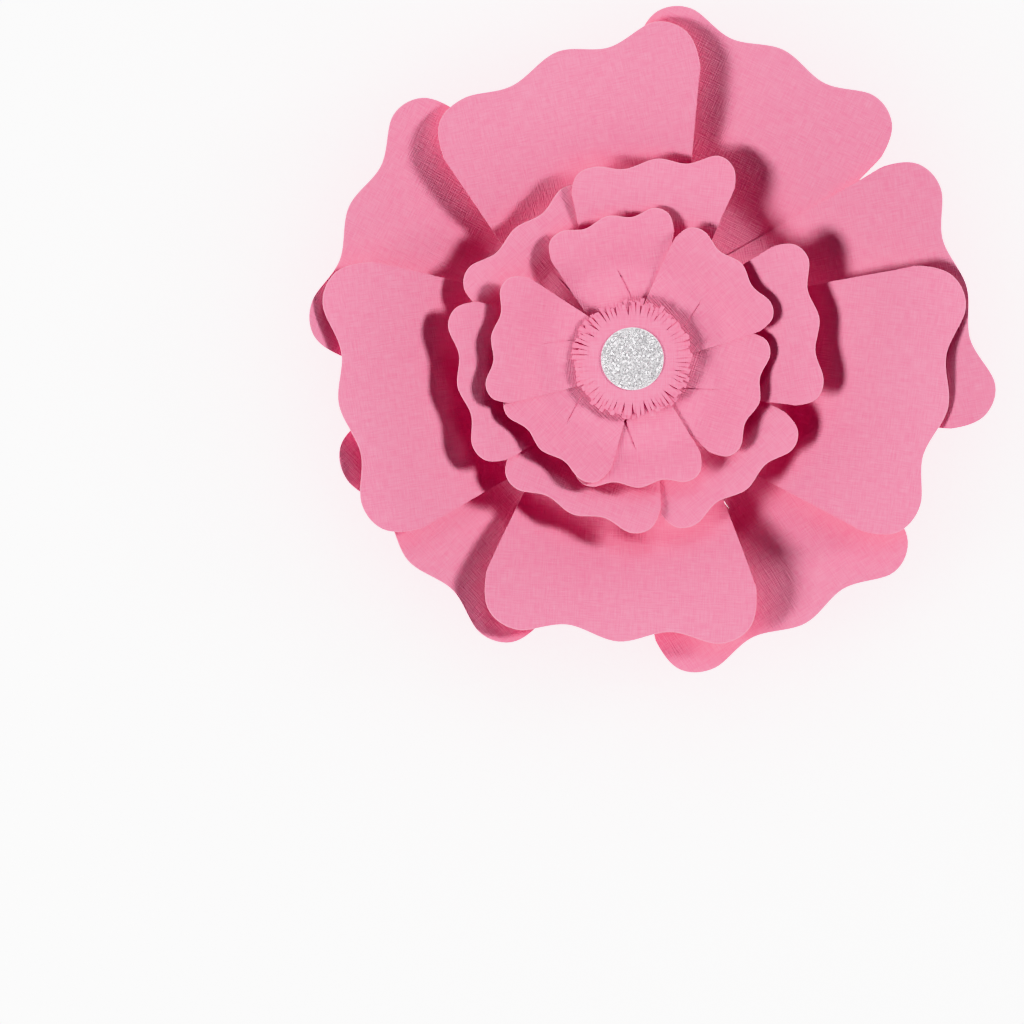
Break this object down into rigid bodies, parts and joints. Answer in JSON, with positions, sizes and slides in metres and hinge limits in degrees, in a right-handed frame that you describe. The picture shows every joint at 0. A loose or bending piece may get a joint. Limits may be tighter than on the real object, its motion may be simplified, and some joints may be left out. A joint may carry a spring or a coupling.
{
  "type": "giant paper flower",
  "caption": "Giant layered paper flower of cut and cupped linen card petals with a fringed centre and a glitter disc, lying on its flat backing disc.",
  "frame": {"origin": "centre of the backing disc's flat back, which is what the flower lies on", "axes": "+Z out of the face of the flower along its axis, +X to the right and +Y up as it is seen from the front"},
  "size_m": [0.3999, 0.3888, 0.0718],
  "materials": {
    "back_petal_card": "matte pink card with a linen emboss",
    "front_petal_card": "matte pink card with a linen emboss",
    "middle_petal_card": "matte pink card with a linen emboss",
    "inner_petal_card": "matte pink card with a linen emboss",
    "fringe_card": "matte pink card, cut into a fringe",
    "glitter_card": "silver white glitter on card",
    "backing_board": "plain matte board",
    "pad_foam": "plain foam"
  },
  "bodies": {
    "root": {"backing_disc": "backing_board", "back_petal_1": "back_petal_card", "back_petal_2": "back_petal_card", "back_petal_3": "back_petal_card", "back_petal_4": "back_petal_card", "back_petal_5": "back_petal_card", "front_petal_1": "front_petal_card", "front_petal_2": "front_petal_card", "front_petal_3": "front_petal_card", "front_petal_4": "front_petal_card", "middle_petal_1": "middle_petal_card", "middle_petal_2": "middle_petal_card", "middle_petal_3": "middle_petal_card", "middle_petal_4": "middle_petal_card", "middle_petal_5": "middle_petal_card", "middle_petal_6": "middle_petal_card", "inner_petal_1": "inner_petal_card", "inner_petal_2": "inner_petal_card", "inner_petal_3": "inner_petal_card", "inner_petal_4": "inner_petal_card", "inner_petal_5": "inner_petal_card", "inner_petal_6": "inner_petal_card", "centre_pad": "pad_foam", "fringe_lower": "fringe_card", "fringe_upper": "fringe_card", "glitter_disc": "glitter_card"}
  },
  "joints": []
}
